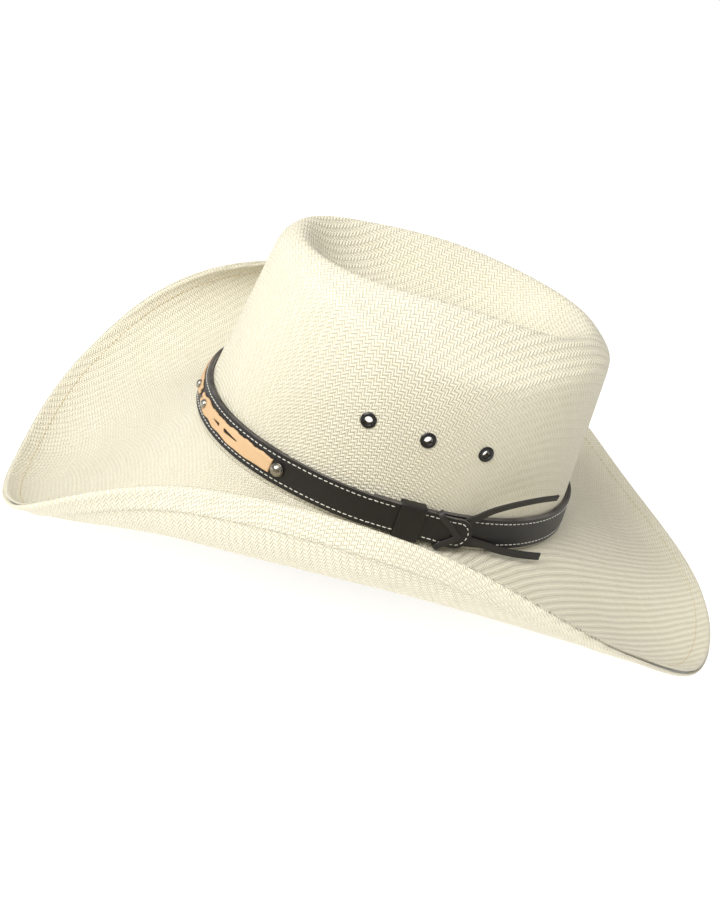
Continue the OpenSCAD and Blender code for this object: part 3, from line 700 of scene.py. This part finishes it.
# bare fibres at the cut edges: grey, matt, fuzzy
cut_edge = worn_material("raw_cut_leather_edge", 0.85, "#6F6963", "#3B3733", 0.35, 0.15)
strap = band_object("hatband_strap_leather", strap_degs, strap_sections, [black_leather, cut_edge], "hatband",
                    slots=strap_slots)
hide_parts("hatband_strap")
lining_degs = np.arange(-346, -29.9, 1.5)
lining = band_object("hatband_lining_leather", lining_degs,
                     np.tile(slab(band_z + 0.25, band_top - 0.25, band_gap, o_strap - 0.02, 0.25),
                             (len(lining_degs), 1, 1)), [cut_edge], "hatband")
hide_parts("hatband_lining")

def strap_face(l, z, lift=0.0):
    """Upright points on the strap's outer face, l along it and z above its middle."""
    d = deg_at(np.asarray(l, float))
    return wall(np.radians(d), band_mid + z, tongue_o(d) + band_t + lift)

row_h = band_w/2 - stitch_inset
tip_l = len_at(tongue_deg) - band_w/2
bend = np.radians(np.linspace(90, -90, 40))
far_l = len_at(strap_end) + 2
row_steps = 1600
path_l = np.concatenate([np.linspace(far_l, tip_l, row_steps), tip_l + row_h*np.cos(bend),
                         np.linspace(tip_l, far_l, row_steps)])
path_z = np.concatenate([np.full(row_steps, row_h), row_h*np.sin(bend), np.full(row_steps, -row_h)])
row_path = strap_face(path_l, path_z, -groove_depth)
row_out = strap_face(path_l, path_z, 1) - strap_face(path_l, path_z)
white_thread = thread_material("white_polyester_thread", "#F2F0E6", "#C9C5B8")
row_gone = np.concatenate([[0], np.cumsum(np.linalg.norm(np.diff(row_path, axis=0), axis=1))])
keeper_l = len_at(keeper_deg)

def clear_of_keeper(d):
    """Whether a stitch at d along the row shows, instead of lying under the keeper."""
    return abs(np.interp(d, row_gone, path_l) - keeper_l) > keeper_w/2 + 0.8

strap_row = stitch_row("hatband_stitches", row_path, row_out, 2.9, 2.2, 0.5, white_thread, "hatband",
                       clear_of_keeper)

# ---- Keeper -----------------------------------------------------------------------------
# A loop of the same black leather, 13 mm wide, closed behind the strap. It holds both ends
# together and its edges are rounded by wear.

keeper_gap, keeper_bend = 0.4, 1.3     # mm, clear of the strap's edges, and outer radius of the corners

def keeper_loop():
    """The loop's strip, carried round a rounded rectangle in the crown's section."""
    o0, o1 = band_gap, float(tongue_o(keeper_deg)) + band_t + leather_gap + keeper_t
    z0, z1 = band_z - keeper_gap - keeper_t, band_top + keeper_gap + keeper_t
    r, mid = keeper_bend, keeper_t/2
    path, out = [], []
    turns = [(z1 - r, o1 - r, 0), (z1 - r, o0 + r, 90), (z0 + r, o0 + r, 180), (z0 + r, o1 - r, 270)]
    for (zc, oc, a0), (zn, on, _) in zip(turns, turns[1:] + turns[:1]):
        for a in np.radians(a0 + np.linspace(0, 90, 7)):
            path.append((zc + (r - mid)*math.sin(a), oc + (r - mid)*math.cos(a)))
            out.append((math.sin(a), math.cos(a)))
        a = math.radians(a0 + 90)
        for f in (0.25, 0.5, 0.75):
            path.append((zc + (zn - zc)*f + (r - mid)*math.sin(a), oc + (on - oc)*f + (r - mid)*math.cos(a)))
            out.append((math.sin(a), math.cos(a)))
    strip = slab(-keeper_w/2, keeper_w/2, -mid, mid, 0.4, 7)
    degs = np.radians(deg_at(keeper_l + strip[:, 0]))
    rings = np.array([wall(degs, z + nz*strip[:, 1], o + no*strip[:, 1])
                      for (z, o), (nz, no) in zip(path, out)])
    return mesh_object("band_keeper_leather", standing(rings), grid_faces(*rings.shape[:2], wrap_rows=True),
                       [black_leather], "hatband")

keeper = keeper_loop()
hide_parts("band_keeper")

# ---- Overlays ---------------------------------------------------------------------------
# Two leaves of undyed tan leather, one mirrored to the other, cut with wavy edges, a forked
# point and two slits through which the black strap shows. Studs hold them at the outer end.

overlay_mid, overlay_len, overlay_t = 19, 72, 1.1
o_over = o_strap + band_t + leather_gap
leaf = np.array([(3, 2.2), (6, 2.6), (11, 3.6), (16, 4), (21, 3), (27, 3.9), (33, 3.5), (42, 4.2), (52, 4.1),
                 (62, 3.8), (70, 3.5)])       # half widths of a leaf along its length, mm
leaf_drawn = 72              # mm, the length that these half widths are drawn for
# each from a to b along the leaf, with the radii of its ends and its height
slits = ((1.5, 5.5, 1.0, 0.3, 0.2), (26, 31, 0.4, 0.9, 0.0), (37, 47, 1.1, 0.4, 0.2))

# vegetable-tanned leather, undyed: pale tan, fine pores, browner where it has been handled
tan_leather = leather_material("natural_tan_leather", "#DFBE96", "#C69F70", 0.5, 0.5, 0.04)

def slit_cutter(side, a, b, ra, rb, z):
    """A long drop shape that reaches right through the leather."""
    outline = []
    for w in np.radians(np.arange(0, 360, 15)):
        c, r = (b, rb) if math.cos(w) > 0 else (a, ra)
        outline.append((c + r*math.cos(w), z + r*math.sin(w)))
    outline = np.array(outline)
    count = len(outline)
    degs = np.radians(deg_at(overlay_mid + side*outline[:, 0]))
    rings = np.array([wall(degs, band_mid + outline[:, 1], o_over + o) for o in (-1.5, 3.0)])
    faces = [tuple(f) for f in grid_faces(2, count)] + [tuple(range(count)), tuple(range(count, 2*count))]
    return mesh_object("slit", standing(rings), faces, [], None)

def overlay(side, name, node):
    """One leaf, on the wearer's left for side 1 and on the right for side -1."""
    s = np.linspace(leaf[0, 0], leaf[-1, 0], 90)
    half = np.interp(s, leaf[:, 0], leaf[:, 1])
    kernel = np.hanning(9)/np.hanning(9).sum()
    half = np.convolve(np.pad(half, 4, "edge"), kernel, "valid")
    upper = half + 0.28*np.sin(s*0.62) + 0.12*np.sin(s*1.7 + 1)
    lower = half + 0.12*np.sin(s*0.45 + 2)
    strip = slab(-1, 1, 0, overlay_t - 0.1, 0.3, 9)
    mid, reach = ((upper - lower)/2)[:, None], ((upper + lower)/2)[:, None]
    edge = strip[:, 0]
    z = mid + np.where(np.abs(edge) > 0.7, np.sign(edge)*(reach - (1 - np.abs(edge))), edge*reach)
    sections = np.stack([band_mid + z, o_over - 0.25 + np.broadcast_to(strip[:, 1], z.shape)], -1)
    degs = deg_at(overlay_mid + side*s*overlay_len/leaf_drawn)
    piece = band_object(name, degs, sections, [tan_leather], "hatband")
    cut(piece, [slit_cutter(side, *q) for q in slits])
    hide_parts(node)

overlay(1, "left_overlay_leather", "left_overlay")
overlay(-1, "right_overlay_leather", "right_overlay")

# ---- Studs ------------------------------------------------------------------------------
# Pressed brass domes, nickel plated and polished: two larger ones at the outer ends of the
# leaves, two small ones near the front.

end_stud_d, front_stud_d = 7, 5        # mm
end_stud_past = 2                      # beyond the leaf's end
front_stud_apart = 11                  # from the middle of the pair of leaves
stud_sides = 56

def dome(d, rows=12):
    """A stud's profile: a low flange and a dome about a third of its width high."""
    r = d/2
    turn = np.radians(np.linspace(0, 90, rows))
    cap = [(r*0.93*math.cos(q), 0.25 + (d*0.36 - 0.25)*math.sin(q)) for q in turn]
    return [(0, -0.9), (r*0.5, -0.9), (r*0.5, 0), (r*0.97, 0), (r, 0.1), (r*0.985, 0.22)] + cap

def studs(name, node, places, d):
    """Studs of one size at places along the strap, as one piece."""
    profile = dome(d)
    turned = lathe(profile, stud_sides)
    pts = np.array([on_wall(float(deg_at(l)), band_mid, o_over + overlay_t, turned) for l in places])
    size = len(profile)*stud_sides
    faces = np.concatenate([grid_faces(len(profile), stud_sides) + size*k for k in range(len(places))])
    piece = mesh_object(name, standing(pts), faces, [nickel], "hatband")
    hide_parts(node)

end_reach = overlay_len + end_stud_past
studs("end_stud_domes", "end_studs", (overlay_mid - end_reach, overlay_mid + end_reach), end_stud_d)
studs("front_stud_domes", "front_studs",
      (overlay_mid - front_stud_apart, overlay_mid + front_stud_apart), front_stud_d)

# ---- Tie lace ---------------------------------------------------------------------------
# A flat black latigo lace. It comes through a hole near the strap's rounded end, crosses its
# face both ways, turns over the edges and runs out behind as two loose, springy ends.

hole_l = len_at(tongue_deg - 4.2)
lace_front = float(tongue_o(tongue_deg)) + band_t        # on the tongue's face
lace_back = o_strap + band_t + leather_gap               # between the strap's two layers
lace_wide, lace_drawn = 4, 3.1     # mm, the loose ends and the stretch drawn tight over the strap

def curve_through(points, steps=14):
    """A smooth path through points, Catmull-Rom."""
    p = np.array([2*np.array(points[0]) - points[1], *points, 2*np.array(points[-1]) - points[-2]], float)
    u = np.linspace(0, 1, steps, endpoint=False)[:, None]
    out = [0.5*(2*b + (c - a)*u + (2*a - 5*b + 4*c - d)*u**2 + (3*b - a - 3*c + d)*u**3)
           for a, b, c, d in zip(p, p[1:], p[2:], p[3:])]
    return np.concatenate(out + [p[-2:-1]])

def lace_strip(points, wide, turn=0.0):
    """A flat strip with rounded edges through (mm from the hole, height, offset) points."""
    path = curve_through(points)
    pts = wall(np.radians(deg_at(hole_l + path[:, 0])), path[:, 1], path[:, 2])
    along = np.gradient(pts, axis=0)
    along /= np.linalg.norm(along, axis=1, keepdims=True)
    n = np.array([pts[0][0]/side_half**2, pts[0][1]/back_half**2, 0])
    strip = slab(-wide/2, wide/2, 0, lace_t, 0.28, 6)
    rings = []
    for k, (q, d) in enumerate(zip(pts, along)):
        n = n - d*np.dot(n, d)
        n /= np.linalg.norm(n)
        w = turn*smooth(k/len(pts))
        face = n*math.cos(w) + np.cross(d, n)*math.sin(w)
        rings.append(q + strip[:, :1]*np.cross(d, face) + strip[:, 1:]*face)
    return np.array(rings)

zh = band_mid - 1            # height of the hole
# up and down over the strap, drawn tight, then the upper and the lower loose end
runs = [
    lace_strip([(0.8, zh - 0.3, lace_front - 1.6), (0.2, zh + 0.2, lace_front - 0.1),
                (-1.6, zh + 1.6, lace_front + 0.3), (-5.4, zh + 5.0, lace_front + 0.1),
                (-9.6, band_top - 1.2, lace_front + 0.15),
                (-10.8, band_top + 0.35, lace_front - 0.4), (-11.0, band_top + 0.7, lace_front - 1.6),
                (-10.6, band_top - 0.6, lace_back + 0.4)], lace_drawn),
    lace_strip([(1.0, zh + 0.6, lace_front - 1.6), (0.4, zh, lace_front - 0.1),
                (-1.4, zh - 1.5, lace_front + 0.2), (-4.6, zh - 4.0, lace_front + 0.05),
                (-7.6, band_z + 1.2, lace_front + 0.1),
                (-8.6, band_z - 0.3, lace_front - 0.4), (-8.8, band_z - 0.6, lace_front - 1.6),
                (-8.4, band_z + 0.6, lace_back + 0.4)], lace_drawn),
    lace_strip([(-3, zh - 1.5, lace_back), (3.3, band_top - 3, lace_back), (9.6, band_top + 2, lace_back + 1),
                (14.3, 28, 8), (23.4, 34, 11), (33.0, 38.3, 13.6), (41.4, 40.6, 15.6)], lace_wide, 0.35),
    lace_strip([(-3, zh + 1.5, lace_back), (7.7, zh - 2.2, lace_back), (16.1, zh - 3.8, lace_back + 0.6),
                (28.8, 4.6, 6.5), (39.5, 3.7, 8.8), (49.4, 3.1, 11.2)], lace_wide, -0.2)]
lace_faces, first = [], 0
for rings in runs:
    rows, cols = rings.shape[:2]
    lace_faces += [tuple(f) for f in grid_faces(rows, cols) + first]
    last = first + (rows - 1)*cols
    lace_faces += [tuple(range(first, first + cols)), tuple(range(last, last + cols))]
    first += rows*cols
lace_points = np.concatenate([rings.reshape(-1, 3) for rings in runs])
lace = mesh_object("tie_lace_leather", standing(lace_points), lace_faces,
                   [leather_material("black_latigo_lace", "#2C2926", "#161412", 0.5, 0.5, 0.05)], "hatband")
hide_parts("tie_lace")

# ---- Floor and light --------------------------------------------------------------------
# A white acrylic table lit from below, which leaves hardly a shadow, and two big soft lights,
# the stronger one from high up between the front and the wearer's left.

floor_material, floor_shader = new_material("lit_white_acrylic", 0.9)
floor_shader.inputs["Base Color"].default_value = linear("#BCBCBC")
floor_shader.inputs["Emission Color"].default_value = linear("#FFFFFF")
floor_shader.inputs["Emission Strength"].default_value = 0.75
floor_mesh = bpy.data.meshes.new("floor")
floor_half = 6               # m
floor_corners = [(x*floor_half, y*floor_half, 0) for x, y in ((-1, -1), (1, -1), (1, 1), (-1, 1))]
floor_mesh.from_pydata(floor_corners, [], [(0, 1, 2, 3)])
floor_mesh.materials.append(floor_material)
floor = bpy.data.objects.new("floor", floor_mesh)
bpy.context.scene.collection.objects.link(floor)

def soft_light(name, place, size, power, aim=(0, 0, 0.06)):
    """A round softbox at a place, of a size in metres and a power in watts, turned to the hat."""
    data = bpy.data.lights.new(name, "AREA")
    data.shape, data.size, data.energy = "DISK", size, power
    o = bpy.data.objects.new(name, data)
    o.location = place
    o.rotation_euler = (Vector(aim) - Vector(place)).to_track_quat("-Z", "Y").to_euler()
    bpy.context.scene.collection.objects.link(o)

soft_light("key_softbox", (1.25, -1.35, 1.6), 1.7, 50)
soft_light("overhead_softbox", (0.6, -0.2, 2.1), 1.8, 14)

world = bpy.data.worlds.new("studio")
world.use_nodes = True
world.node_tree.nodes["Background"].inputs["Color"].default_value = (1, 1, 1, 1)
world.node_tree.nodes["Background"].inputs["Strength"].default_value = 0.47
bpy.context.scene.world = world
bpy.context.scene.view_settings.view_transform = "Standard"
